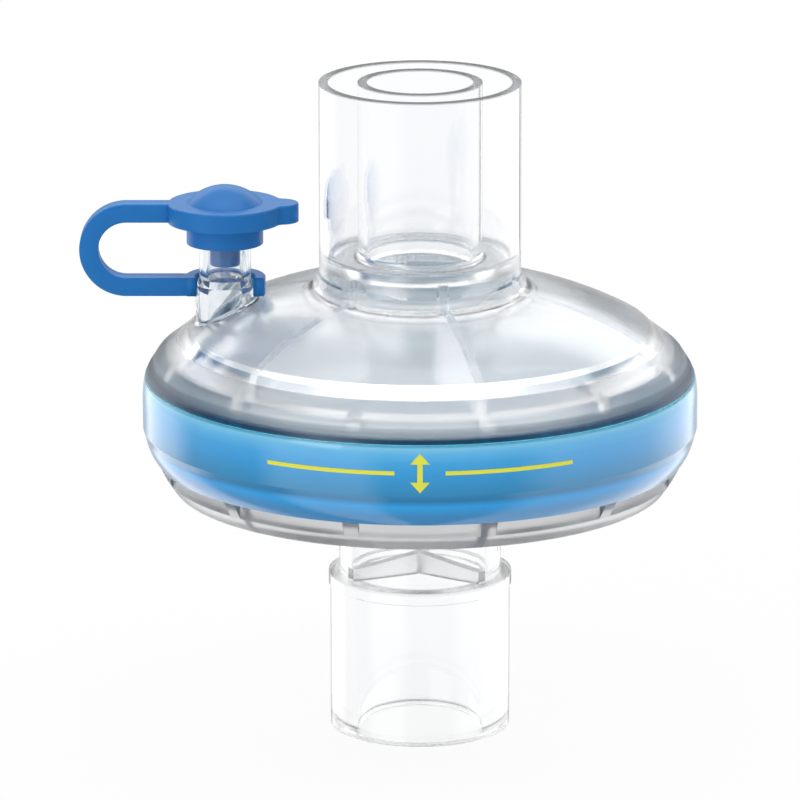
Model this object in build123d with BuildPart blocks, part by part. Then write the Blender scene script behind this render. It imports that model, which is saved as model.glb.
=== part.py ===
from build123d import *
import math
import os

# Breathing circuit filter: two clear shells that hold a filter disc between them,
# a colour band moulded round their joint, and a cap on a strap for the sampling port.
# The origin is the centre of the lower port's end face, +Z runs up the gas way,
# and the sampling port stands on the -X side. All sizes are in millimetres.

os.makedirs("parts", exist_ok=True)

# Patient port: outer 22 mm male cone and inner 15 mm female cone, as straight cylinders
patient_port_radius = 11.0
patient_bore_radius = 7.7
patient_port_height = 19.6
patient_lip_step = 0.2
patient_lip_height = 1.5
port_edge_round = 0.35
bore_shoulder_drop = 0.3

# Neck between the patient port and the dished lower shell
neck_radius = 9.9
neck_wall = 1.4
neck_length = 6.9
neck_fillet = 1.6

# Guard in the neck, which stops a connector short of the filter disc
guard_arm_angles = (55, 175, 295)
guard_thickness = 1.2
guard_end_height = 1.3
guard_centre_height = 2.7

# Lower shell
underside_rise = 4.2
lower_side_inset = 2.2
rim_edge_round = 0.7
lower_side_height = 3.6
lower_side_bulge = 0.12
shell_wall = 1.5
skirt_wall = 2.8

# Colour band and the joint that it covers
joint_radius = 31.2
band_foot_wall = 1.0
band_wall = 2.6
band_top_inset = 0.3
band_height = 10.1
band_bevel_height = 3.1
band_bevel_bulge = 0.22
band_step = 0.25
band_step_height = 0.8
band_shoulder_height = 2.8
band_shoulder_bulge = 0.1
band_edge_round = 0.3
joint_depth = 2.0

# Castellations: bars that stand across the gap under the band and under the upper rim
castellation_count = 12
castellation_first_angle = 15
castellation_width = 1.8
castellation_height = 1.9

# Filter disc
medium_thickness = 2.2
medium_edge_clearance = 0.1
medium_edge_wall = 1.2

# Upper shell
rim_step_height = 0.7
rim_step_inset = 0.3
shoulder_height = 2.6
shoulder_inset = 1.2
bead_height = 4.35
bead_inset = 2.3
dome_edge_height = 5.9
dome_edge_inset = 1.7
dome_rise = 5.35
dome_mid_rise = 3.45
dome_wall = 1.4
dome_wall_at_neck = 1.8
dome_fillet = 2.6
shoulder_round = 1.2
bead_round = 0.5
dome_edge_round = 0.5
clamp_ring_wall = 1.0
clamp_groove_height = 1.45

# Machine port: an outer 22 mm female cone round an inner 15 mm male cone, ends flush
machine_port_radius = 12.25
machine_socket_radius = 11.15
machine_tube_radius = 7.55
machine_bore_radius = 6.45
machine_port_height = 25.05
machine_socket_depth = 21.5
machine_web = 1.3
machine_chamber_radius = 10.6
socket_fillet = 0.8

# Ribs that hold the filter disc flat
rib_count = 6
rib_first_angle = 15
rib_thickness = 1.15
upper_rib_inner_radius = 9.4
lower_rib_inner_radius = 11.0

# Sampling port with a luer socket
luer_inset = 4.35
luer_top_height = 19.1
luer_radius = 3.13
luer_neck_radius = 3.6
luer_shoulder_height = 12.1
luer_shoulder_length = 0.8
luer_bore_radius = 2.1
luer_fillet = 0.5
luer_ear_radius = 3.9
luer_ear_height = 1.6
luer_ear_width = 3.2

# Cap
cap_radius = 6.95
cap_thickness = 2.3
cap_edge_round = 0.25
cap_button_radius = 4.6
cap_button_height = 2.1
cap_skirt_radius = 4.65
cap_skirt_depth = 2.7
cap_skirt_clearance = 0.15
plug_seal_clearance = 0.05
plug_seal_depth = 2.4
plug_tip_radius = 1.82
plug_tip_round = 0.3
plug_depth = 5.4
tab_reach = 8.96
tab_radius = 2.15
tab_fillet = 0.9

# Strap, which bends in a U from the cap to a snap clip round the sampling port
strap_width = 2.6
strap_thickness = 2.3
strap_reach = 17.65
strap_drop = 9.15
strap_end_gap = 0.1
clip_clearance = 0.05
clip_wall = 1.25

# Heights that follow from the sizes above
ledge_z = patient_port_height
bore_shoulder_z = ledge_z - bore_shoulder_drop
neck_top_z = ledge_z + neck_length
rim_bottom_z = neck_top_z + underside_rise
band_bottom_z = rim_bottom_z + lower_side_height
band_top_z = band_bottom_z + band_height
joint_z = band_top_z - joint_depth
medium_top_z = joint_z + medium_thickness
dome_edge_z = band_top_z + dome_edge_height
dome_top_z = dome_edge_z + dome_rise
machine_end_z = dome_top_z + machine_port_height
socket_floor_z = machine_end_z - machine_socket_depth
web_bottom_z = socket_floor_z - machine_web
luer_top_z = band_top_z + luer_top_height
luer_shoulder_z = band_top_z + luer_shoulder_height

# Radii that follow
chamber_radius = joint_radius - skirt_wall
band_bottom_radius = joint_radius + band_foot_wall
rim_bottom_radius = band_bottom_radius - lower_side_inset
band_radius = joint_radius + band_wall
band_top_radius = band_radius - band_top_inset
rim_step_radius = band_top_radius - rim_step_inset
shoulder_radius = rim_step_radius - shoulder_inset
bead_radius = shoulder_radius - bead_inset
dome_edge_radius = bead_radius - dome_edge_inset
luer_offset = dome_edge_radius - luer_inset
neck_bore_radius = neck_radius - neck_wall
medium_radius = joint_radius - medium_edge_wall - medium_edge_clearance
medium_pocket_radius = joint_radius - medium_edge_wall
clamp_inner_radius = chamber_radius - clamp_ring_wall
dome_mid_radius = (dome_edge_radius + machine_port_radius) / 2
luer_axis = Axis((-luer_offset, 0, 0), (0, 0, 1))
rib_angles = [rib_first_angle + 360 / rib_count * i for i in range(rib_count)]
castellation_angles = [
    castellation_first_angle + 360 / castellation_count * i for i in range(castellation_count)
]


def radial_plane(angle):
    """Upright plane through the main axis, turned by angle degrees from the front to +X."""
    turn = math.radians(angle - 90)
    outward = (math.cos(turn), math.sin(turn), 0)
    sideways = (math.sin(turn), -math.cos(turn), 0)
    return Plane(origin=(0, 0, 0), x_dir=outward, z_dir=sideways)


def radial_plates(angles, inner, outer, bottom, top, thickness):
    """Cut upright plates, each along a radius, out of the solid in the open part block."""
    for angle in angles:
        with BuildSketch(radial_plane(angle)) as plate:
            with Locations(((inner + outer) / 2, (bottom + top) / 2)):
                Rectangle(outer - inner, top - bottom)
        extrude(plate.sketch, amount=thickness / 2, both=True, mode=Mode.SUBTRACT)


# Air inside the lower shell: patient bore, neck and the dished chamber, less ribs and guard
with BuildPart() as lower_air:
    with BuildSketch(Plane.XZ) as lower_hollow:
        with BuildLine():
            Polyline(
                (0, 0),
                (patient_bore_radius, 0),
                (patient_bore_radius, bore_shoulder_z),
                (neck_bore_radius, bore_shoulder_z),
                (neck_bore_radius, neck_top_z + shell_wall / 2),
                (rim_bottom_radius - 2 * shell_wall, rim_bottom_z + shell_wall),
                (chamber_radius, rim_bottom_z + 2 * shell_wall),
                (chamber_radius, joint_z),
                (0, joint_z),
                (0, 0),
            )
        make_face()
        fillet(
            lower_hollow.vertices().sort_by_distance((neck_bore_radius, neck_top_z + shell_wall / 2))[0],
            neck_fillet + neck_wall,
        )
    revolve(axis=Axis.Z)
    radial_plates(
        rib_angles, lower_rib_inner_radius, joint_radius, neck_top_z - shell_wall, joint_z, rib_thickness
    )
    for arm_angle in guard_arm_angles:
        with BuildSketch(radial_plane(arm_angle)) as guard_arm:
            with BuildLine():
                Polyline(
                    (0, bore_shoulder_z),
                    (neck_radius, bore_shoulder_z),
                    (neck_radius, bore_shoulder_z + guard_end_height),
                    (0, bore_shoulder_z + guard_centre_height),
                    close=True,
                )
            make_face()
        extrude(guard_arm.sketch, amount=guard_thickness / 2, both=True, mode=Mode.SUBTRACT)

# Gap under the band, between the castellations
with BuildPart() as lower_gap:
    with BuildSketch(Plane.XZ):
        with Locations(((joint_radius + band_radius) / 2, band_bottom_z - castellation_height / 2)):
            Rectangle(band_radius - joint_radius, castellation_height)
    revolve(axis=Axis.Z)
    radial_plates(
        castellation_angles,
        joint_radius / 2,
        band_radius * 2,
        band_bottom_z - 2 * castellation_height,
        band_bottom_z + castellation_height,
        castellation_width,
    )

# Lower shell: patient port, neck and dish, one clear moulding
with BuildPart() as lower_housing:
    with BuildSketch(Plane.XZ) as lower_outline:
        with BuildLine():
            Polyline(
                (0, 0),
                (patient_port_radius, 0),
                (patient_port_radius, ledge_z - patient_lip_height),
                (patient_port_radius + patient_lip_step, ledge_z - patient_lip_height),
                (patient_port_radius + patient_lip_step, ledge_z),
                (neck_radius, ledge_z),
                (neck_radius, neck_top_z),
                (rim_bottom_radius, rim_bottom_z),
            )
            SagittaArc(
                (rim_bottom_radius, rim_bottom_z), (band_bottom_radius, band_bottom_z), -lower_side_bulge
            )
            Polyline(
                (band_bottom_radius, band_bottom_z),
                (joint_radius, band_bottom_z),
                (joint_radius, joint_z),
                (0, joint_z),
                (0, 0),
            )
        make_face()
        fillet(lower_outline.vertices().sort_by_distance((neck_radius, neck_top_z))[0], neck_fillet)
        fillet(
            lower_outline.vertices().sort_by_distance((rim_bottom_radius, rim_bottom_z))[0],
            rim_edge_round,
        )
        fillet(
            lower_outline.vertices().sort_by_distance((patient_port_radius, 0))[0], port_edge_round
        )
    revolve(axis=Axis.Z)
    add(lower_air.part, mode=Mode.SUBTRACT)
    add(lower_gap.part, mode=Mode.SUBTRACT)
lower_housing.part.label = "lower_housing"
export_step(lower_housing.part, "parts/lower_housing.step")

# Filter disc, pinched at its edge between the two shells
with BuildPart() as filter_medium:
    with BuildSketch(Plane.XY.offset(joint_z)):
        Circle(medium_radius)
    extrude(amount=medium_thickness)
filter_medium.part.label = "filter_medium"
export_step(filter_medium.part, "parts/filter_medium.step")

# Air inside the upper shell: dome chamber, neck chamber and machine bore, less the ribs
with BuildPart() as upper_air:
    with BuildSketch(Plane.XZ):
        with BuildLine():
            Polyline(
                (0, medium_top_z),
                (clamp_inner_radius, medium_top_z),
                (clamp_inner_radius, dome_edge_z - dome_wall),
            )
            ThreePointArc(
                (clamp_inner_radius, dome_edge_z - dome_wall),
                (dome_mid_radius, dome_edge_z + dome_mid_rise - dome_wall),
                (machine_chamber_radius, dome_top_z - dome_wall_at_neck),
            )
            Polyline(
                (machine_chamber_radius, dome_top_z - dome_wall_at_neck),
                (machine_chamber_radius, web_bottom_z),
                (machine_bore_radius, web_bottom_z),
                (machine_bore_radius, machine_end_z),
                (0, machine_end_z),
                (0, medium_top_z),
            )
        make_face()
    revolve(axis=Axis.Z)
    radial_plates(
        rib_angles, upper_rib_inner_radius, joint_radius, medium_top_z, machine_end_z, rib_thickness
    )

# Groove between the clamp ring and the rim, crossed by the castellations
with BuildPart() as upper_gap:
    with BuildSketch(Plane.XZ):
        with Locations(
            ((chamber_radius + medium_pocket_radius) / 2, medium_top_z + clamp_groove_height / 2)
        ):
            Rectangle(medium_pocket_radius - chamber_radius, clamp_groove_height)
    revolve(axis=Axis.Z)
    radial_plates(
        castellation_angles,
        chamber_radius / 2,
        joint_radius * 2,
        medium_top_z - clamp_groove_height,
        medium_top_z + 2 * clamp_groove_height,
        castellation_width,
    )

# Upper shell: rim, dome, machine port and sampling port, one clear moulding
with BuildPart() as upper_housing:
    with BuildSketch(Plane.XZ) as upper_outline:
        with BuildLine():
            Polyline(
                (0, joint_z),
                (joint_radius, joint_z),
                (joint_radius, band_top_z),
                (band_top_radius, band_top_z),
                (rim_step_radius, band_top_z + rim_step_height),
                (shoulder_radius, band_top_z + shoulder_height),
                (bead_radius, band_top_z + bead_height),
                (dome_edge_radius, dome_edge_z),
            )
            ThreePointArc(
                (dome_edge_radius, dome_edge_z),
                (dome_mid_radius, dome_edge_z + dome_mid_rise),
                (machine_port_radius, dome_top_z),
            )
            Polyline(
                (machine_port_radius, dome_top_z),
                (machine_port_radius, machine_end_z),
                (0, machine_end_z),
                (0, joint_z),
            )
        make_face()
        fillet(
            upper_outline.vertices().sort_by_distance((machine_port_radius, dome_top_z))[0],
            dome_fillet,
        )
        fillet(
            upper_outline.vertices().sort_by_distance(
                (shoulder_radius, band_top_z + shoulder_height)
            )[0],
            shoulder_round,
        )
        fillet(
            upper_outline.vertices().sort_by_distance((bead_radius, band_top_z + bead_height))[0],
            bead_round,
        )
        fillet(
            upper_outline.vertices().sort_by_distance((dome_edge_radius, dome_edge_z))[0],
            dome_edge_round,
        )
    revolve(axis=Axis.Z)
    # Stem of the sampling port, wide at its foot and stepped in above the strap's clip
    with BuildSketch(Plane.XZ):
        with BuildLine():
            Polyline(
                (-luer_offset, dome_edge_z),
                (-luer_offset + luer_neck_radius, dome_edge_z),
                (-luer_offset + luer_neck_radius, luer_shoulder_z - luer_shoulder_length),
                (-luer_offset + luer_radius, luer_shoulder_z),
                (-luer_offset + luer_radius, luer_top_z),
                (-luer_offset, luer_top_z),
                close=True,
            )
        make_face()
    revolve(axis=luer_axis)
    fillet(
        upper_housing.edges()
        .filter_by(lambda e: e.geom_type not in (GeomType.CIRCLE, GeomType.LINE))
        .sort_by_distance((-luer_offset, 0, dome_edge_z))[0],
        luer_fillet,
    )
    # Ears of the luer lock at the mouth, under the cap's skirt
    with BuildSketch(Plane.XY.offset(luer_top_z)):
        with Locations((-luer_offset, 0)):
            Circle(luer_ear_radius)
            Rectangle(2 * luer_ear_radius, luer_ear_width, mode=Mode.INTERSECT)
    extrude(amount=-luer_ear_height)
    # Hollows: medium pocket, chambers, socket round the inner tube, grooves and bores
    add(upper_air.part, mode=Mode.SUBTRACT)
    add(upper_gap.part, mode=Mode.SUBTRACT)
    with BuildSketch(Plane.XY.offset(joint_z)):
        Circle(medium_pocket_radius)
    extrude(amount=medium_thickness, mode=Mode.SUBTRACT)
    with BuildSketch(Plane.XZ) as socket_outline:
        with Locations(
            ((machine_tube_radius + machine_socket_radius) / 2, (socket_floor_z + machine_end_z) / 2)
        ):
            Rectangle(machine_socket_radius - machine_tube_radius, machine_socket_depth)
        fillet(socket_outline.vertices().group_by(Axis.Y)[0], socket_fillet)
    revolve(axis=Axis.Z, mode=Mode.SUBTRACT)
    with BuildSketch(Plane.XY.offset(luer_top_z)):
        with Locations((-luer_offset, 0)):
            Circle(luer_bore_radius)
    extrude(amount=medium_top_z - luer_top_z, mode=Mode.SUBTRACT)
upper_housing.part.label = "upper_housing"
export_step(upper_housing.part, "parts/upper_housing.step")

# Colour band, moulded round both shells: bevelled foot, shallow step, plain face
with BuildPart() as colour_band:
    band_bevel_top = (band_radius - band_step, band_bottom_z + band_bevel_height)
    band_face_bottom = (band_radius, band_bottom_z + band_bevel_height + band_step_height)
    band_face_top = (band_radius, band_top_z - band_shoulder_height)
    with BuildSketch(Plane.XZ) as band_outline:
        with BuildLine():
            Polyline((joint_radius, band_bottom_z), (band_bottom_radius, band_bottom_z))
            SagittaArc((band_bottom_radius, band_bottom_z), band_bevel_top, -band_bevel_bulge)
            Polyline(band_bevel_top, band_face_bottom, band_face_top)
            SagittaArc(band_face_top, (band_top_radius, band_top_z), -band_shoulder_bulge)
            Polyline(
                (band_top_radius, band_top_z), (joint_radius, band_top_z), (joint_radius, band_bottom_z)
            )
        make_face()
        fillet(
            band_outline.vertices().sort_by_distance((band_top_radius, band_top_z))[0], band_edge_round
        )
    revolve(axis=Axis.Z)
colour_band.part.label = "colour_band"
export_step(colour_band.part, "parts/colour_band.step")

# Cap: disc with a pull tab and a domed button, a skirt over the port and a plug in its bore
with BuildPart() as port_cap:
    with BuildSketch(Plane.XY.offset(luer_top_z)) as cap_outline:
        with Locations((-luer_offset, 0)):
            Circle(cap_radius)
        with Locations((-luer_offset + tab_reach - tab_radius, 0)):
            Circle(tab_radius)
        fillet(cap_outline.vertices(), tab_fillet)
    extrude(amount=cap_thickness)
    fillet(port_cap.faces().sort_by(Axis.Z)[-1].edges(), cap_edge_round)
    button_foot_z = luer_top_z + cap_thickness
    button_centre = (-luer_offset, button_foot_z - cap_thickness / 2)
    button_top = (-luer_offset, button_foot_z + cap_button_height)
    button_edge = (-luer_offset + cap_button_radius, button_foot_z)
    button_sphere_radius = (cap_button_radius**2 + cap_button_height**2) / (2 * cap_button_height)
    with BuildSketch(Plane.XZ):
        with BuildLine():
            Line(button_centre, button_top)
            RadiusArc(button_top, button_edge, button_sphere_radius)
            Polyline(
                button_edge,
                (-luer_offset + cap_button_radius, button_foot_z - cap_thickness / 2),
                button_centre,
            )
        make_face()
    revolve(axis=luer_axis)
    with BuildSketch(Plane.XY.offset(luer_top_z)):
        with Locations((-luer_offset, 0)):
            Circle(cap_skirt_radius)
            Circle(luer_ear_radius + cap_skirt_clearance, mode=Mode.SUBTRACT)
    extrude(amount=-cap_skirt_depth)
    with BuildSketch(Plane.XY.offset(luer_top_z)):
        with Locations((-luer_offset, 0)):
            Circle(luer_bore_radius - plug_seal_clearance)
    extrude(amount=-plug_seal_depth)
    with BuildSketch(Plane.XY.offset(luer_top_z)):
        with Locations((-luer_offset, 0)):
            Circle(plug_tip_radius)
    extrude(amount=-plug_depth)
    fillet(port_cap.faces().sort_by(Axis.Z)[0].edges(), plug_tip_round)
port_cap.part.label = "port_cap"
export_step(port_cap.part, "parts/port_cap.step")

# Strap and clip: a U-shaped strip level with the cap's disc, ending in an open ring
with BuildPart() as cap_tether:
    strap_mid_radius = strap_drop / 2
    strap_top_z = luer_top_z + cap_thickness
    strap_bend_x = -luer_offset - strap_reach + strap_mid_radius + strap_thickness / 2
    strap_centre_z = strap_top_z - strap_thickness / 2 - strap_mid_radius
    strap_bottom_z = strap_top_z - strap_thickness - strap_drop
    with BuildSketch(Plane.XZ):
        with Locations((strap_bend_x, strap_centre_z)):
            Circle(strap_mid_radius + strap_thickness / 2)
            Circle(strap_mid_radius - strap_thickness / 2, mode=Mode.SUBTRACT)
            with Locations((strap_mid_radius, 0)):
                Rectangle(2 * strap_mid_radius, 2 * strap_drop, mode=Mode.SUBTRACT)
        for arm_z in (strap_centre_z - strap_mid_radius, strap_centre_z + strap_mid_radius):
            with Locations(((strap_bend_x - luer_offset) / 2, arm_z)):
                Rectangle(-luer_offset - strap_bend_x, strap_thickness)
    extrude(amount=strap_width / 2, both=True)
    with BuildSketch(Plane.XY.offset(strap_bottom_z)):
        with Locations((-luer_offset, 0)):
            Circle(luer_neck_radius + clip_clearance + clip_wall)
    extrude(amount=strap_thickness)
    with BuildSketch(Plane.XY.offset(strap_bottom_z)):
        with Locations((-luer_offset, 0)):
            Circle(luer_neck_radius + clip_clearance)
        with Locations((-luer_offset, -strap_width / 2)):
            Rectangle(4 * luer_neck_radius, 4 * luer_neck_radius, align=(Align.CENTER, Align.MAX))
    extrude(amount=strap_thickness, mode=Mode.SUBTRACT)
    with BuildSketch(Plane.XY.offset(luer_top_z)):
        with Locations((-luer_offset, 0)):
            Circle(cap_radius + strap_end_gap)
    extrude(amount=cap_thickness, mode=Mode.SUBTRACT)
cap_tether.part.label = "cap_tether"
export_step(cap_tether.part, "parts/cap_tether.step")
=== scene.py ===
import bpy
import math
import numpy as np
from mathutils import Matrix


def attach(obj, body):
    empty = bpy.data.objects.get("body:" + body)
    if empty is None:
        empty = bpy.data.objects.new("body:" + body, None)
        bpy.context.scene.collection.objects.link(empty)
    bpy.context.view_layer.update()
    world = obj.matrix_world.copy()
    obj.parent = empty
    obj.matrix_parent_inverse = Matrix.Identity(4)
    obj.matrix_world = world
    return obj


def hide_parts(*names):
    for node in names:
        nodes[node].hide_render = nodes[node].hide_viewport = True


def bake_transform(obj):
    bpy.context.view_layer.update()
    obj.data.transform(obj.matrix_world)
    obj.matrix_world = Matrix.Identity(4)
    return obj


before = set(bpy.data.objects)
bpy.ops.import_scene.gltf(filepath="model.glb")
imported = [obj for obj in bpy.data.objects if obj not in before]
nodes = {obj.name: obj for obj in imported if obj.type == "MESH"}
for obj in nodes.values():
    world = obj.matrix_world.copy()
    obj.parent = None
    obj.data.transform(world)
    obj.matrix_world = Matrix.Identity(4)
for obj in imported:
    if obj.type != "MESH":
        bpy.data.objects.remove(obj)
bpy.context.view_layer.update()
scene = bpy.context.scene
scene.view_settings.view_transform = "Standard"
scene.cycles.max_bounces = 24
scene.cycles.transmission_bounces = 24
scene.cycles.glossy_bounces = 8
scene.cycles.transparent_max_bounces = 24


# Camera: a long lens a little above the disc, looking level with the wall of the rim.
# The object stands slightly right of the middle, so the lens is shifted by that much.
camera_rise = math.radians(15.0)
camera_distance = 0.880
camera_focus = (0.0, 0.0, 0.041)
camera_data = bpy.data.cameras.new("camera")
camera_data.sensor_width = 36.0
camera_data.lens = 324.7
camera_data.shift_x = -0.025
camera_data.clip_end = 50.0
camera = bpy.data.objects.new("camera", camera_data)
camera.location = (
    camera_focus[0],
    camera_focus[1] - camera_distance * math.cos(camera_rise),
    camera_focus[2] + camera_distance * math.sin(camera_rise),
)
camera.rotation_euler = (math.pi / 2 - camera_rise, 0.0, 0.0)
scene.collection.objects.link(camera)
scene.camera = camera


# Studio: a white tent. It is plain white straight to the camera, and in light and
# reflections it has bright screens with greyer gaps between them, which draw clear plastic.
def add_node(tree, kind, settings=(), **values):
    """A shader node of that kind, with its settings and its unlinked inputs filled in."""
    node = tree.nodes.new(kind)
    for key, value in dict(settings).items():
        setattr(node, key, value)
    for key, value in values.items():
        node.inputs[key.replace("_", " ")].default_value = value
    return node


def join(tree, *pairs):
    """Link each output socket to the input socket paired with it."""
    for source, target in pairs:
        tree.links.new(source, target)


world = bpy.data.worlds.new("studio")
scene.world = world
world.use_nodes = True
sky = world.node_tree
sky.nodes.clear()
way = add_node(sky, "ShaderNodeTexCoord")
axes = add_node(sky, "ShaderNodeSeparateXYZ")
ahead = add_node(sky, "ShaderNodeMath", {"operation": "MULTIPLY"})
ahead.inputs[1].default_value = -1.0
turn = add_node(sky, "ShaderNodeMath", {"operation": "ARCTAN2"})
share = add_node(sky, "ShaderNodeMapRange")
share.inputs["From Min"].default_value = -math.pi
share.inputs["From Max"].default_value = math.pi
screens = add_node(sky, "ShaderNodeValToRGB")
# Each step is how far round it lies, from behind by the left to the camera at 0.5 and back
# by the right, and how bright it is there.
steps = (
    (0.00, 0.35), (0.05, 0.40), (0.08, 1.10), (0.16, 1.00), (0.20, 0.35), (0.30, 0.25),
    (0.335, 0.80), (0.43, 0.80), (0.46, 0.25), (0.61, 0.25), (0.66, 0.80), (0.80, 0.80),
    (0.84, 1.00), (0.92, 1.10), (0.95, 0.40), (1.00, 0.35),
)
ramp = screens.color_ramp
while len(ramp.elements) < len(steps):
    ramp.elements.new(0.5)
for element, (position, light) in zip(ramp.elements, steps):
    element.position = position
    element.color = (light, light, light, 1.0)
overhead = add_node(sky, "ShaderNodeMapRange", {"interpolation_type": "SMOOTHSTEP"})
overhead.inputs["From Min"].default_value = 0.45
overhead.inputs["From Max"].default_value = 0.85
below = add_node(sky, "ShaderNodeMapRange")
for limit, value in (("From Min", 0.0), ("From Max", -0.2), ("To Min", 1.0), ("To Max", 2.2)):
    below.inputs[limit].default_value = value
lifted = add_node(sky, "ShaderNodeMath", {"operation": "MULTIPLY"})
roof = add_node(sky, "ShaderNodeMix", {"data_type": "FLOAT"})
roof.inputs[3].default_value = 0.70
rays = add_node(sky, "ShaderNodeLightPath")
seen = add_node(sky, "ShaderNodeMix", {"data_type": "FLOAT"})
seen.inputs[3].default_value = 1.0
backdrop = add_node(sky, "ShaderNodeBackground")
room = add_node(sky, "ShaderNodeOutputWorld")
join(
    sky,
    (way.outputs["Generated"], axes.inputs[0]),
    (axes.outputs["Y"], ahead.inputs[0]),
    (axes.outputs["X"], turn.inputs[0]),
    (ahead.outputs[0], turn.inputs[1]),
    (turn.outputs[0], share.inputs["Value"]),
    (share.outputs[0], screens.inputs[0]),
    (axes.outputs["Z"], overhead.inputs["Value"]),
    (overhead.outputs[0], roof.inputs["Factor"]),
    (axes.outputs["Z"], below.inputs["Value"]),
    (screens.outputs[0], lifted.inputs[0]),
    (below.outputs[0], lifted.inputs[1]),
    (lifted.outputs[0], roof.inputs[2]),
    (rays.outputs["Is Camera Ray"], seen.inputs["Factor"]),
    (roof.outputs[0], seen.inputs[2]),
    (seen.outputs[0], backdrop.inputs["Strength"]),
    (backdrop.outputs[0], room.inputs["Surface"]),
)


def soft_box(name, azimuth, elevation, distance, size, radiance, reflected=True, lights=True):
    """A square lamp in the direction azimuth (0 is the camera's side, positive to the right)
    and elevation, both in degrees, turned towards the filter. One that isn't reflected only
    lights, and one that doesn't light is only seen in gloss."""
    side, rise = math.radians(azimuth), math.radians(elevation)
    data = bpy.data.lights.new(name, "AREA")
    data.shape = "RECTANGLE"
    data.size, data.size_y = size
    data.energy = radiance * math.pi * size[0] * size[1]
    lamp = bpy.data.objects.new(name, data)
    lamp.location = (
        distance * math.cos(rise) * math.sin(side),
        -distance * math.cos(rise) * math.cos(side),
        distance * math.sin(rise) + 0.045,
    )
    lamp.rotation_euler = (math.pi / 2 - rise, 0.0, side)
    lamp.visible_camera = False
    lamp.visible_diffuse = lights
    lamp.visible_glossy = reflected
    lamp.visible_transmission = reflected and lights
    scene.collection.objects.link(lamp)


soft_box("left_front_box", -42.0, 20.0, 0.75, (0.30, 0.50), 1.8)
soft_box("left_back_box", -132.0, 18.0, 0.80, (0.42, 0.50), 0.9)
soft_box("right_back_box", 125.0, 18.0, 0.80, (0.42, 0.50), 0.8)
soft_box("back_box", 180.0, 32.0, 0.90, (1.30, 0.44), 1.9)
soft_box("top_bar", 0.0, 80.0, 0.75, (0.90, 0.20), 2.6)
soft_box("front_fill", 10.0, 12.0, 1.20, (0.80, 0.60), 1.45, reflected=False)
soft_box("ceiling_card", 0.0, 90.0, 0.70, (1.30, 0.70), 2.2, lights=False)

floor_reach = 6.0
floor_mesh = bpy.data.meshes.new("floor")
floor_mesh.from_pydata(
    [(-floor_reach, -floor_reach, 0), (floor_reach, -floor_reach, 0),
     (floor_reach, floor_reach, 0), (-floor_reach, floor_reach, 0)],
    [], [(0, 1, 2, 3)],
)
floor = bpy.data.objects.new("floor", floor_mesh)
floor.visible_glossy = False
scene.collection.objects.link(floor)
floor_paint = bpy.data.materials.new("floor_paint")
floor_paint.use_nodes = True
tree = floor_paint.node_tree
tree.nodes.clear()
matt = add_node(tree, "ShaderNodeBsdfDiffuse", Color=(0.92, 0.92, 0.92, 1.0))
glow = add_node(tree, "ShaderNodeEmission", Color=(1.0, 1.0, 1.0, 1.0), Strength=1.0)
path = add_node(tree, "ShaderNodeLightPath")
first_hit = add_node(tree, "ShaderNodeMath", {"operation": "MAXIMUM"})
seen_share = add_node(tree, "ShaderNodeMath", {"operation": "MULTIPLY"})
seen_share.inputs[1].default_value = 0.93
mixed = add_node(tree, "ShaderNodeMixShader")
out = add_node(tree, "ShaderNodeOutputMaterial")
join(
    tree,
    (path.outputs["Is Camera Ray"], first_hit.inputs[0]),
    (path.outputs["Is Transmission Ray"], first_hit.inputs[1]),
    (first_hit.outputs[0], seen_share.inputs[0]),
    (seen_share.outputs[0], mixed.inputs[0]),
    (matt.outputs[0], mixed.inputs[1]),
    (glow.outputs[0], mixed.inputs[2]),
    (mixed.outputs[0], out.inputs["Surface"]),
)
floor_mesh.materials.append(floor_paint)


# Lower shell: the patient port, neck and dish of the filter, one moulding in clear styrene.
# Port and neck are polished by the mould, and the rim below the band is lightly blasted.
def noise_height(group, place, size, detail):
    """Noise over object coordinates, with a named input of the group as its scale."""
    noise = add_node(group, "ShaderNodeTexNoise", Detail=detail)
    join(group, (place, noise.inputs["Vector"]), (size, noise.inputs["Scale"]))
    return noise.outputs[0]


def moulded_skin_group():
    """Moulded skin: a broad waviness under a fine grain, both noise in object coordinates."""
    group = bpy.data.node_groups.new("moulded_skin", "ShaderNodeTree")
    settings = ("Wave Size", "Grain Size", "Gloss", "Spread")
    for name, value in zip(settings, (180.0, 2500.0, 0.05, 0.03)):
        socket = group.interface.new_socket(name, in_out="INPUT", socket_type="NodeSocketFloat")
        socket.default_value = value
    for name in ("Roughness", "Height"):
        group.interface.new_socket(name, in_out="OUTPUT", socket_type="NodeSocketFloat")
    inlet = group.nodes.new("NodeGroupInput")
    outlet = group.nodes.new("NodeGroupOutput")
    place = add_node(group, "ShaderNodeTexCoord").outputs["Object"]
    wave = noise_height(group, place, inlet.outputs["Wave Size"], 2.0)
    grain = noise_height(group, place, inlet.outputs["Grain Size"], 3.0)
    spread = add_node(group, "ShaderNodeMath", {"operation": "MULTIPLY_ADD"})
    height = add_node(group, "ShaderNodeMath", {"operation": "MULTIPLY_ADD"})
    height.inputs[1].default_value = 0.1
    join(
        group,
        (grain, spread.inputs[0]),
        (inlet.outputs["Spread"], spread.inputs[1]),
        (inlet.outputs["Gloss"], spread.inputs[2]),
        (grain, height.inputs[0]),
        (wave, height.inputs[2]),
        (spread.outputs[0], outlet.inputs["Roughness"]),
        (height.outputs[0], outlet.inputs["Height"]),
    )
    return group


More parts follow.
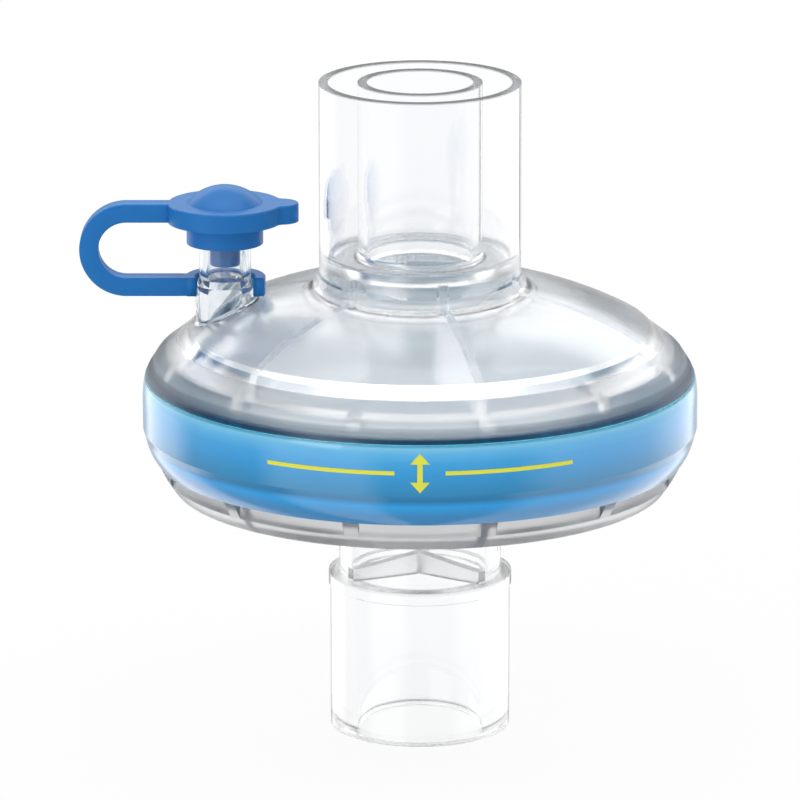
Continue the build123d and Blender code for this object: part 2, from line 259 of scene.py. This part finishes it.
def ring_zone_group():
    """Zone of a turned part: 1 where radius and height lie in their ranges, 0 outside,
    with a smooth step as wide as Edge at each limit. Axis X is where its axis stands."""
    group = bpy.data.node_groups.new("ring_zone", "ShaderNodeTree")
    limits = ("Inner Radius", "Outer Radius", "Bottom", "Top", "Edge", "Axis X")
    for name, value in zip(limits, (0.0, 1.0, -1.0, 1.0, 0.001, 0.0)):
        socket = group.interface.new_socket(name, in_out="INPUT", socket_type="NodeSocketFloat")
        socket.default_value = value
    group.interface.new_socket("Mask", in_out="OUTPUT", socket_type="NodeSocketFloat")
    inlet = group.nodes.new("NodeGroupInput")
    outlet = group.nodes.new("NodeGroupOutput")
    place = add_node(group, "ShaderNodeTexCoord")
    axis = add_node(group, "ShaderNodeCombineXYZ")
    from_axis = add_node(group, "ShaderNodeVectorMath", {"operation": "SUBTRACT"})
    flat = add_node(group, "ShaderNodeVectorMath", {"operation": "MULTIPLY"})
    flat.inputs[1].default_value = (1.0, 1.0, 0.0)
    radius = add_node(group, "ShaderNodeVectorMath", {"operation": "LENGTH"})
    axes = add_node(group, "ShaderNodeSeparateXYZ")
    join(
        group,
        (inlet.outputs["Axis X"], axis.inputs["X"]),
        (place.outputs["Object"], from_axis.inputs[0]),
        (axis.outputs[0], from_axis.inputs[1]),
        (from_axis.outputs[0], flat.inputs[0]),
        (flat.outputs[0], radius.inputs[0]),
        (place.outputs["Object"], axes.inputs[0]),
    )
    mask = None
    for value, low, high in (
        (radius.outputs["Value"], "Inner Radius", "Outer Radius"),
        (axes.outputs["Z"], "Bottom", "Top"),
    ):
        for limit, sign in ((low, 1.0), (high, -1.0)):
            past = add_node(group, "ShaderNodeMath", {"operation": "SUBTRACT"})
            scaled = add_node(group, "ShaderNodeMath", {"operation": "DIVIDE"})
            step = add_node(group, "ShaderNodeMapRange", {"interpolation_type": "SMOOTHSTEP"})
            step.inputs["From Min"].default_value = -0.5
            step.inputs["From Max"].default_value = 0.5
            first, second = (value, inlet.outputs[limit])[:: 1 if sign > 0 else -1]
            join(
                group,
                (first, past.inputs[0]),
                (second, past.inputs[1]),
                (past.outputs[0], scaled.inputs[0]),
                (inlet.outputs["Edge"], scaled.inputs[1]),
                (scaled.outputs[0], step.inputs["Value"]),
            )
            if mask is None:
                mask = step.outputs[0]
            else:
                both = add_node(group, "ShaderNodeMath", {"operation": "MULTIPLY"})
                join(group, (mask, both.inputs[0]), (step.outputs[0], both.inputs[1]))
                mask = both.outputs[0]
    join(group, (mask, outlet.inputs["Mask"]))
    return group


moulded_skin = moulded_skin_group()
ring_zone = ring_zone_group()


def moulded(name, colour, wave, grain, gloss, spread, bump, **values):
    """A moulded plastic: a Principled surface with the moulded skin on its gloss and normal."""
    material = bpy.data.materials.new(name)
    material.use_nodes = True
    tree = material.node_tree
    surface = tree.nodes["Principled BSDF"]
    surface.inputs["Base Color"].default_value = colour
    for key, value in values.items():
        surface.inputs[key.replace("_", " ")].default_value = value
    skin = add_node(
        tree, "ShaderNodeGroup", {"node_tree": moulded_skin, "name": "skin"},
        Wave_Size=wave, Grain_Size=grain, Gloss=gloss, Spread=spread,
    )
    relief = add_node(tree, "ShaderNodeBump", Strength=bump, Distance=0.0002)
    join(
        tree,
        (skin.outputs["Roughness"], surface.inputs["Roughness"]),
        (skin.outputs["Height"], relief.inputs["Height"]),
        (relief.outputs[0], surface.inputs["Normal"]),
    )
    return material


def zone_mask(tree, inner, outer, bottom, top, edge, axis_x=0.0):
    """Mask of a ring zone, its limits and the place of its axis given in millimetres."""
    zone = add_node(
        tree, "ShaderNodeGroup", {"node_tree": ring_zone},
        Inner_Radius=inner / 1000, Outer_Radius=outer / 1000,
        Bottom=bottom / 1000, Top=top / 1000, Edge=edge / 1000, Axis_X=axis_x / 1000,
    )
    return zone.outputs["Mask"]


def upright_mask(tree):
    """1 on faces that stand upright, and 0 on faces that look up or down."""
    place = add_node(tree, "ShaderNodeTexCoord")
    axes = add_node(tree, "ShaderNodeSeparateXYZ")
    steep = add_node(tree, "ShaderNodeMath", {"operation": "ABSOLUTE"})
    mask = add_node(tree, "ShaderNodeMapRange", {"interpolation_type": "SMOOTHSTEP"})
    mask.inputs["From Min"].default_value = 0.25
    mask.inputs["From Max"].default_value = 0.15
    join(
        tree,
        (place.outputs["Normal"], axes.inputs[0]),
        (axes.outputs["Z"], steep.inputs[0]),
        (steep.outputs[0], mask.inputs["Value"]),
    )
    return mask.outputs[0]


def clear_styrene(name, zones):
    """Clear plastic that lets lamps through. Each zone gives its limits as in zone_mask, its
    roughness and its colour, the plastic's tint in some zones and painted shade and light in
    others, and one marked True holds only on faces that stand upright."""
    material = moulded(name, (1.0, 1.0, 1.0, 1.0), 150.0, 3000.0, 0.0, 0.05, 0.04,
                       IOR=1.55, Transmission_Weight=1.0)
    tree = material.node_tree
    surface = tree.nodes["Principled BSDF"]
    rough = tree.nodes["skin"].outputs["Roughness"]
    tint_and_painted_light = None
    for limits, roughness, colour, *upright in zones:
        mask = zone_mask(tree, *limits)
        if upright:
            both = add_node(tree, "ShaderNodeMath", {"operation": "MULTIPLY"})
            join(tree, (mask, both.inputs[0]), (upright_mask(tree), both.inputs[1]))
            mask = both.outputs[0]
        dull = add_node(tree, "ShaderNodeMix", {"data_type": "FLOAT"})
        dull.inputs[3].default_value = roughness
        join(tree, (mask, dull.inputs["Factor"]), (rough, dull.inputs[2]))
        rough = dull.outputs[0]
        shade = add_node(tree, "ShaderNodeMix", {"data_type": "RGBA"})
        shade.inputs[6].default_value = (0.99, 0.995, 1.0, 1.0)
        shade.inputs[7].default_value = colour
        join(tree, (mask, shade.inputs["Factor"]))
        if tint_and_painted_light is not None:
            join(tree, (tint_and_painted_light, shade.inputs[6]))
        tint_and_painted_light = shade.outputs[2]
    join(tree, (rough, surface.inputs["Roughness"]), (tint_and_painted_light, surface.inputs["Base Color"]))
    light_path = add_node(tree, "ShaderNodeLightPath")
    film = add_node(tree, "ShaderNodeBsdfTransparent", Color=(0.97, 0.98, 0.985, 1.0))
    choice = add_node(tree, "ShaderNodeMixShader")
    join(
        tree,
        (light_path.outputs["Is Shadow Ray"], choice.inputs[0]),
        (surface.outputs[0], choice.inputs[1]),
        (film.outputs[0], choice.inputs[2]),
        (choice.outputs[0], tree.nodes["Material Output"].inputs["Surface"]),
    )
    return material


def dress(node, material):
    """Put the material in every slot of a CAD node."""
    for slot in nodes[node].material_slots:
        slot.material = material


lower_clear = clear_styrene(
    "lower_clear_styrene",
    (
        # dish
        ((14.0, 60.0, 26.0, 45.0, 0.6), 0.28, (0.92, 0.93, 0.94, 1.0)),
        # ledge behind the bars, painted grey as the shade in the recess between them
        ((30.6, 60.0, 32.3, 34.4, 0.3), 0.35, (0.64, 0.65, 0.66, 1.0)),
        # lower end of the port
        ((8.0, 12.0, -1.0, 0.3, 0.2), 0.5, (1.0, 1.0, 1.0, 1.0)),
        # shoulder of the port, painted a little grey as shade on the ledge
        ((9.9, 60.0, 19.3, 19.9, 0.3), 0.25, (0.8, 0.81, 0.82, 1.0)),
        # guard
        ((-1.0, 8.4, 18.9, 22.6, 0.3), 0.4, (1.0, 1.0, 1.0, 1.0)),
    ),
)
dress("lower_housing", lower_clear)


# Filter disc: a flat round of white non-woven fibre, pinched at its edge between the shells.
# The ribs of both shells press a shallow dent in it, and it swells a little between them.
# Its edge is painted whiter than the rest, a painted highlight seen through the bright bevel of
# the rim.
def felt_disc():
    """Surface (ring, angle) of a flat closed disc: out along the top, round the edge and in
    along the bottom. Its height over the middle plane is the half thickness, less a dent
    that falls off from each rib's centre line, and plus a puff halfway between two ribs."""
    middle, half, edge_radius, edge_round = 43.5, 1.06, 29.85, 0.15
    rib_turn, rib_half, rib_start, dent = 15.0, 0.9, 9.0, 0.2
    chamber_radius, puff = 28.4, 0.08
    out = np.concatenate((np.linspace(0.0, 29.0, 60), np.linspace(29.2, 29.7, 4)))
    round_off = np.linspace(0.0, np.pi, 9)[1:-1]
    angle = np.linspace(0.0, 2 * np.pi, 360, endpoint=False)
    radius = np.concatenate((out, edge_radius - edge_round * (1 - np.sin(round_off)), out[::-1]))
    side = np.concatenate((np.ones(len(out)), np.cos(round_off), -np.ones(len(out))))
    from_rib = (angle - np.radians(rib_turn - 90.0) + np.pi / 6) % (np.pi / 3) - np.pi / 6
    reach = radius[:, None] * np.sin(from_rib)[None, :]
    under_rib = np.exp(-((reach / rib_half) ** 2)) * (radius[:, None] > rib_start)
    swell = 0.5 - 0.5 * np.cos(6 * from_rib)[None, :]
    span = np.sin(np.pi * np.clip(radius / chamber_radius, 0, 1))[:, None]
    height = half - dent * under_rib + puff * swell * span
    z = middle + side[:, None] * height
    x = radius[:, None] * np.cos(angle)[None, :]
    y = radius[:, None] * np.sin(angle)[None, :]
    return np.stack((x, y, z), axis=-1) / 1000


grid = felt_disc()
rings, around = grid.shape[:2]
points = np.concatenate((grid[:1, 0], grid[1:-1].reshape(-1, 3), grid[-1:, 0]))
index = 1 + np.arange((rings - 2) * around).reshape(rings - 2, around)
after = np.roll(index, -1, axis=1)
sides = np.stack((index[:-1], index[1:], after[1:], after[:-1]), axis=-1).reshape(-1, 4)
top_fan = np.stack((np.zeros(around, int), index[0], after[0]), axis=-1)
bottom_fan = np.stack((np.full(around, len(points) - 1), after[-1], index[-1]), axis=-1)
felt_mesh = bpy.data.meshes.new("felt_disc")
felt_faces = sides.tolist() + top_fan.tolist() + bottom_fan.tolist()
felt_mesh.from_pydata(points.tolist(), [], felt_faces)
felt_mesh.shade_smooth()
felt_piece = bpy.data.objects.new("felt_disc", felt_mesh)
scene.collection.objects.link(felt_piece)

felt = bpy.data.materials.new("filter_felt")
felt.use_nodes = True
tree = felt.node_tree
surface = tree.nodes["Principled BSDF"]
surface.inputs["Roughness"].default_value = 0.95
surface.inputs["Sheen Weight"].default_value = 0.2
place = add_node(tree, "ShaderNodeTexCoord")
fibre = add_node(tree, "ShaderNodeTexNoise", Scale=1400.0, Detail=6.0)
cloud = add_node(tree, "ShaderNodeTexNoise", Scale=90.0, Detail=3.0)
both = add_node(tree, "ShaderNodeMath", {"operation": "MULTIPLY_ADD"})
both.inputs[1].default_value = 0.6
tone = add_node(tree, "ShaderNodeValToRGB")
tone.color_ramp.elements[0].position = 0.45
tone.color_ramp.elements[0].color = (0.30, 0.35, 0.40, 1.0)
tone.color_ramp.elements[1].position = 1.0
tone.color_ramp.elements[1].color = (0.46, 0.52, 0.58, 1.0)
# the disc's edge is painted whiter, a painted highlight under the rim's bevel
felt_edge_painted_highlight = add_node(tree, "ShaderNodeMix", {"data_type": "RGBA"})
felt_edge_painted_highlight.inputs[7].default_value = (0.93, 0.95, 0.97, 1.0)
relief = add_node(tree, "ShaderNodeBump", Strength=0.6, Distance=0.0002)
join(
    tree,
    (zone_mask(tree, 28.7, 60.0, 40.0, 47.0, 0.3), felt_edge_painted_highlight.inputs["Factor"]),
    (place.outputs["Object"], fibre.inputs["Vector"]),
    (place.outputs["Object"], cloud.inputs["Vector"]),
    (fibre.outputs[0], both.inputs[0]),
    (cloud.outputs[0], both.inputs[2]),
    (both.outputs[0], tone.inputs[0]),
    (tone.outputs[0], felt_edge_painted_highlight.inputs[6]),
    (felt_edge_painted_highlight.outputs[2], surface.inputs["Base Color"]),
    (fibre.outputs[0], relief.inputs["Height"]),
    (relief.outputs[0], surface.inputs["Normal"]),
)
felt_mesh.materials.append(felt)
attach(felt_piece, "housing")
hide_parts("filter_medium")


# Upper shell: rim, dome, machine port and sampling port, one moulding in the same styrene.
# The tubes are polished, the dome is lightly textured inside, and the rim is blasted dull
# below a bright bevel.
upper_clear = clear_styrene(
    "upper_clear_styrene",
    (
        # dome
        ((12.6, 60.0, 42.0, 55.9, 0.6), 0.17, (0.98, 0.99, 1.0, 1.0)),
        # rim
        ((29.2, 60.0, 42.0, 48.9, 0.5), 0.36, (0.93, 0.945, 0.96, 1.0)),
        # sides of the ribs
        ((9.0, 27.3, 44.0, 56.0, 0.3), 0.6, (1.0, 1.0, 1.0, 1.0), True),
        # step of the rim over the band, painted dark as the shade where the rim meets the band
        ((31.8, 34.0, 45.4, 46.2, 0.4), 0.42, (0.40, 0.44, 0.48, 1.0)),
        # lip of the rim, painted blue as light from the band below seen through the clear lip
        ((31.8, 34.0, 43.8, 45.0, 0.2), 0.30, (0.04, 0.86, 1.00, 1.0)),
        # stem of the sampling port
        ((0.0, 4.3, 50.6, 63.0, 0.4, -23.65), 0.03, (0.90, 0.93, 0.96, 1.0)),
        # web between the two tubes
        ((7.6, 12.6, 57.0, 60.0, 0.4), 0.25, (0.90, 0.91, 0.92, 1.0)),
        # flush ends of the tubes, painted grey as shade on their end faces
        ((0.0, 60.0, 80.55, 90.0, 0.2), 0.3, (0.43, 0.43, 0.44, 1.0)),
    ),
)
tree = upper_clear.node_tree
surface = tree.nodes["Principled BSDF"]
surface.inputs["Coat IOR"].default_value = 2.2
surface.inputs["Coat Roughness"].default_value = 0.15
join(tree, (zone_mask(tree, 28.0, 29.8, 48.8, 50.35, 0.15), surface.inputs["Coat Weight"]))
dress("upper_housing", upper_clear)


# Colour band: a ring of tinted translucent plastic, moulded round the joint of the shells.
# Its colour varies with height: partly the tint of the plastic, deeper in the thick face than at
# the thin upper edge, and partly painted light and shade, a painted highlight on the upward
# shoulder and painted shade at the step, the lower bevel and the top edge.
band_blue = moulded(
    "band_blue", (0.05, 0.30, 0.62, 1.0), 120.0, 3000.0, 0.05, 0.05, 0.03,
    IOR=1.5, Transmission_Weight=0.15, Coat_Weight=0.5, Coat_Roughness=0.04,
)
tree = band_blue.node_tree
place = add_node(tree, "ShaderNodeTexCoord")
axes = add_node(tree, "ShaderNodeSeparateXYZ")
level = add_node(tree, "ShaderNodeMapRange")
level.inputs["From Min"].default_value = 0.0343
level.inputs["From Max"].default_value = 0.0444
band_tint_with_painted_light = add_node(tree, "ShaderNodeValToRGB")
# steps of the band's colour by height: the light ones near the top are a painted highlight, the
# dark ones at the step, the bevel and the top edge are painted shade
band_steps_with_painted_light = (
    (0.00, (0.030, 0.260, 0.580)), (0.12, (0.038, 0.285, 0.620)), (0.25, (0.022, 0.420, 0.930)),
    (0.33, (0.012, 0.220, 0.490)), (0.41, (0.026, 0.300, 0.600)), (0.66, (0.036, 0.400, 0.850)),
    (0.78, (0.055, 0.450, 0.900)), (0.90, (0.150, 0.590, 1.000)), (0.96, (0.260, 0.710, 1.000)),
    (1.00, (0.004, 0.260, 0.520)),
)
while len(band_tint_with_painted_light.color_ramp.elements) < len(band_steps_with_painted_light):
    band_tint_with_painted_light.color_ramp.elements.new(0.5)
for element, (position, tint_and_painted_light) in zip(band_tint_with_painted_light.color_ramp.elements, band_steps_with_painted_light):
    element.position = position
    element.color = (*tint_and_painted_light, 1.0)
join(
    tree,
    (place.outputs["Object"], axes.inputs[0]),
    (axes.outputs["Z"], level.inputs["Value"]),
    (level.outputs[0], band_tint_with_painted_light.inputs[0]),
    (band_tint_with_painted_light.outputs[0], tree.nodes["Principled BSDF"].inputs["Base Color"]),
)
dress("colour_band", band_blue)


# Print: a plain mark in yellow ink on the band's face, an upright two-headed arrow for gas
# that flows both ways between two short lines of the same ink.
def band_radius(height):
    """Radius of the band's face: level up to 41.6 mm, then leaning in by 0.3 mm to its top."""
    lean = np.clip((height - 41.6) / 2.8, 0.0, 1.0)
    return 33.8 - 0.3 * lean + 0.1 * 4 * lean * (1 - lean)


def ink_patch(centre, heights, half_widths, columns):
    """Surface (u, v): at each height v it spans its half width to both sides of the centre,
    measured along the band, and lies 0.03 mm proud of the band's radius there."""
    height = np.repeat(np.array(heights)[:, None], columns, axis=1)
    across = np.array(half_widths)[:, None] * np.linspace(-1.0, 1.0, columns)[None, :]
    radius = band_radius(height) + 0.03
    angle = (centre + across) / 33.8
    points = np.stack((radius * np.sin(angle), -radius * np.cos(angle), height), axis=-1)
    rows = len(heights)
    index = np.arange(rows * columns).reshape(rows, columns)
    quads = np.stack((index[:-1, :-1], index[:-1, 1:], index[1:, 1:], index[1:, :-1]), axis=-1)
    return points.reshape(-1, 3) / 1000, quads.reshape(-1, 4)


arrow_heights = [38.7, 40.0, 40.001, 42.199, 42.2, 43.5]
arrow_widths = [0.001, 1.15, 0.32, 0.32, 1.15, 0.001]
line_heights = [40.85, 41.35]
patches = [ink_patch(0.0, arrow_heights, arrow_widths, 5)]
patches += [ink_patch(side * 11.0, line_heights, [8.0, 8.0], 49) for side in (-1, 1)]
points, faces, start = [], [], 0
for patch_points, patch_faces in patches:
    points.append(patch_points)
    faces.append(patch_faces + start)
    start += len(patch_points)
print_mesh = bpy.data.meshes.new("flow_print")
print_mesh.from_pydata(np.concatenate(points).tolist(), [], np.concatenate(faces).tolist())
flow_print = bpy.data.objects.new("flow_print", print_mesh)
scene.collection.objects.link(flow_print)
yellow_ink = moulded(
    "yellow_ink", (0.78, 0.80, 0.06, 1.0), 900.0, 6000.0, 0.3, 0.2, 0.1, IOR=1.45,
)
print_mesh.materials.append(yellow_ink)
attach(flow_print, "housing")


# Cap: disc with a pull tab, a domed button, a skirt over the port and a plug in its bore.
# It is moulded in a softer, satin blue plastic in one piece with its strap.
cap_blue = moulded(
    "cap_blue", (0.012, 0.176, 0.520, 1.0), 300.0, 4000.0, 0.36, 0.12, 0.15, IOR=1.45,
    Specular_IOR_Level=0.3,
)
dress("port_cap", cap_blue)


# Strap and clip: a U-shaped strip from the cap's disc down to an open ring that snaps round
# the stem of the sampling port.
stem_x = -23.65
strap_half_width = 1.3
strap_half_thickness = 1.15
strap_bend_radius = 4.575
strap_bend_x = stem_x - 17.65 + strap_bend_radius + strap_half_thickness
strap_centre_z = 60.075
edge_round = 0.18


def rounded_bar(half_a, half_b, edge, corner_steps):
    """Closed rectangle profile (a, b) whose corners are quarter circles of radius edge."""
    quarter = np.linspace(0.0, np.pi / 2, corner_steps)
    profile = []
    for turn, (sign_a, sign_b) in enumerate(((1, 1), (-1, 1), (-1, -1), (1, -1))):
        angle = quarter + turn * np.pi / 2
        profile.append(np.stack((
            sign_a * (half_a - edge) + edge * np.cos(angle),
            sign_b * (half_b - edge) + edge * np.sin(angle),
        ), axis=-1))
    return np.concatenate(profile)


def tube_faces(rings, around):
    """Quads between neighbouring rings of a closed profile, and a cap on each end."""
    index = np.arange(rings * around).reshape(rings, around)
    after = np.roll(index, -1, axis=1)
    sides = np.stack((index[:-1], index[1:], after[1:], after[:-1]), axis=-1).reshape(-1, 4)
    return sides.tolist() + [index[0].tolist(), index[-1][::-1].tolist()]


def strap_bar():
    """The profile carried along a U: a straight arm out of the cap, half a circle down and
    a straight arm in to the ring. Each ring of points lies square to the path, and the two
    end rings, which are sunk in the cap and in the clip, are a little smaller."""
    cap_end, cap_edge = stem_x - 6.3, stem_x - 6.8
    ring_end, ring_edge = stem_x - 4.1, stem_x - 4.65
    bend = np.linspace(np.pi / 2, 3 * np.pi / 2, 49)
    arc = np.stack((strap_bend_x + strap_bend_radius * np.cos(bend),
                    strap_centre_z + strap_bend_radius * np.sin(bend)), axis=-1)
    upper_x = np.append(cap_end, np.linspace(cap_edge, strap_bend_x, 9)[:-1])
    lower_x = np.append(np.linspace(strap_bend_x, ring_edge, 9)[1:], ring_end)
    upper = np.stack((upper_x, np.full(9, strap_centre_z + strap_bend_radius)), axis=-1)
    lower = np.stack((lower_x, np.full(9, strap_centre_z - strap_bend_radius)), axis=-1)
    line = np.concatenate((upper, arc, lower))
    along = np.gradient(line, axis=0)
    along /= np.linalg.norm(along, axis=1)[:, None]
    square = np.stack((along[:, 1], -along[:, 0]), axis=-1)
    profile = rounded_bar(strap_half_width, strap_half_thickness, edge_round, 4)
    sunk = np.ones(len(line))
    sunk[[0, -1]] = 0.85
    sunk[-2] = 0.985
    across = sunk[:, None] * profile[None, :, 1]
    x = line[:, None, 0] + square[:, None, 0] * across
    z = line[:, None, 1] + square[:, None, 1] * across
    y = sunk[:, None] * profile[None, :, 0]
    return np.stack((x, y, z), axis=-1), tube_faces(len(line), len(profile))


def clip_ring():
    """The profile carried round the stem, from one end face to the other. The end faces lie
    in the plane of the strap's front side, so each radius starts and stops at its own angle."""
    inner, outer = 3.65, 4.9
    profile = rounded_bar((outer - inner) / 2, strap_half_thickness, edge_round, 4)
    radius = (inner + outer) / 2 + profile[:, 0]
    end_angle = np.arcsin(-strap_half_width / radius)
    share = np.linspace(0.0, 1.0, 97)[:, None]
    angle = end_angle[None, :] * (1 - share) + (np.pi - end_angle)[None, :] * share
    x = stem_x + radius[None, :] * np.cos(angle)
    y = radius[None, :] * np.sin(angle)
    z = np.broadcast_to(strap_centre_z - strap_bend_radius + profile[None, :, 1], x.shape)
    return np.stack((x, y, z), axis=-1), tube_faces(97, len(profile))


points, faces, start = [], [], 0
for bar_points, bar_faces in (strap_bar(), clip_ring()):
    points.append(bar_points.reshape(-1, 3) / 1000)
    faces += [[corner + start for corner in face] for face in bar_faces]
    start += len(points[-1])
strap_mesh = bpy.data.meshes.new("strap")
strap_mesh.from_pydata(np.concatenate(points).tolist(), [], faces)
strap_mesh.shade_smooth()
strap = bpy.data.objects.new("strap", strap_mesh)
scene.collection.objects.link(strap)
strap_mesh.materials.append(cap_blue)
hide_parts("cap_tether")
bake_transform(strap)
